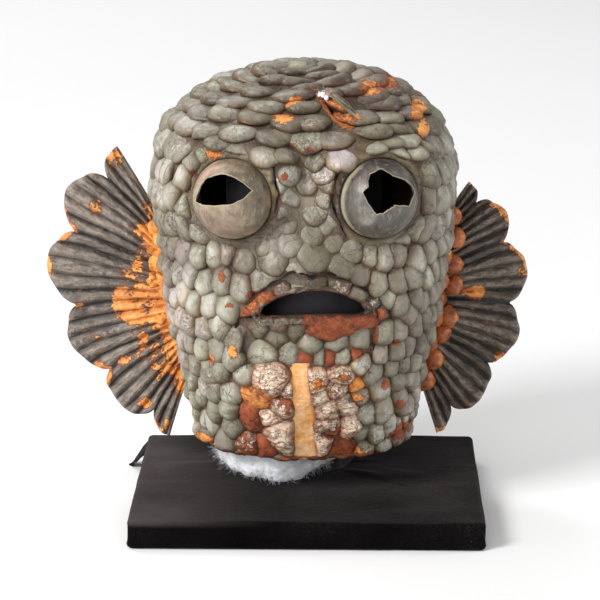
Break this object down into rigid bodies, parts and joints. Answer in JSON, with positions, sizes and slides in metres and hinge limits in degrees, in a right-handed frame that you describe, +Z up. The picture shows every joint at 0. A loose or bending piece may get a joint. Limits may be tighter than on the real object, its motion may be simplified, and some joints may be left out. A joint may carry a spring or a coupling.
{
  "type": "alien mask",
  "caption": "Hollow full-head alien mask of scaly foam latex with broken plastic eye domes and webbed side fins, on a velvet-covered display board.",
  "frame": {"origin": "centre of the whole object's box, on the plane of the board's underside", "axes": "+Z up, the face looks along -Y, +X is the mask's own left"},
  "size_m": [0.5152, 0.345, 0.469],
  "materials": {
    "foam_latex": "painted foam latex, grey-green with dark creases and bare orange patches",
    "horn_plastic": "thin horn-coloured translucent plastic, scratched and broken",
    "fin_latex": "dark brown foam latex worn to orange at the roots and edges",
    "black_velvet": "black velvet with lint",
    "black_cloth": "matt black cloth",
    "white_batting": "loose white polyester batting"
  },
  "bodies": {
    "root": {"mask_skin": "foam_latex", "left_eye_dome": "horn_plastic", "right_eye_dome": "horn_plastic", "left_fin": "fin_latex", "right_fin": "fin_latex", "velvet_board": "black_velvet", "cloth_form": "black_cloth", "neck_batting": "white_batting", "crown_padding": "white_batting"}
  },
  "joints": []
}
